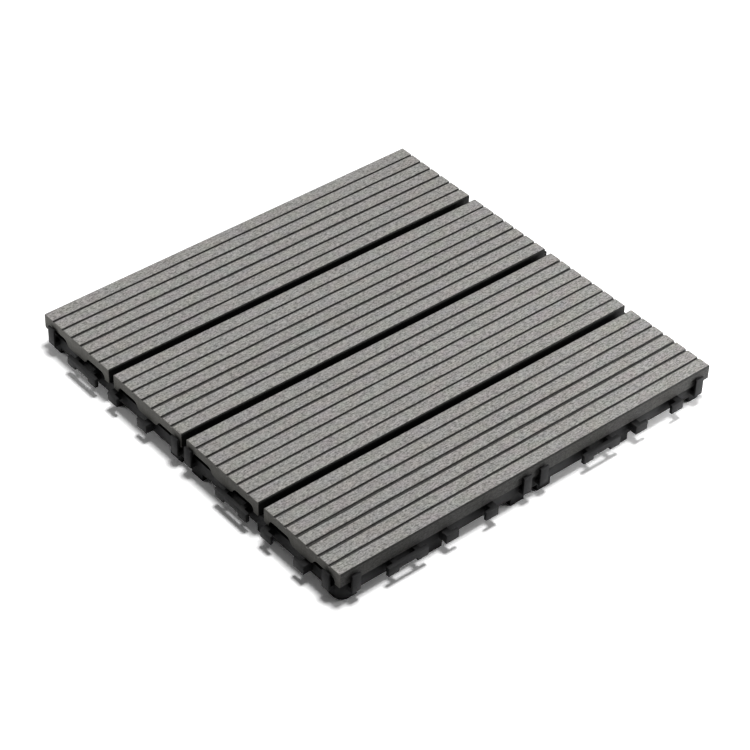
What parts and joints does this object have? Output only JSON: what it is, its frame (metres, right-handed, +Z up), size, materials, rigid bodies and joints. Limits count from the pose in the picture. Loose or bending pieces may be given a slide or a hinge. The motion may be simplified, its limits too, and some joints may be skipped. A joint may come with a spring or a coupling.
{
  "type": "interlocking deck tile",
  "caption": "Square outdoor deck tile: ribbed grey composite boards screwed side by side to a black moulded plastic grid with feet and interlocking connectors along every edge.",
  "frame": {"origin": "on the ground, under the middle of the tile", "axes": "+X along the boards, +Y across them, +Z up"},
  "size_m": [0.3104, 0.3104, 0.0255],
  "materials": {
    "grid_plastic": "moulded black polypropylene, satin",
    "board_composite": "extruded grey wood-plastic composite, brushed along the boards",
    "screw_steel": "zinc-plated steel"
  },
  "bodies": {
    "root": {"base_grid": "grid_plastic", "board_1": "board_composite", "board_2": "board_composite", "board_3": "board_composite", "board_4": "board_composite", "board_screws": "screw_steel"}
  },
  "joints": []
}
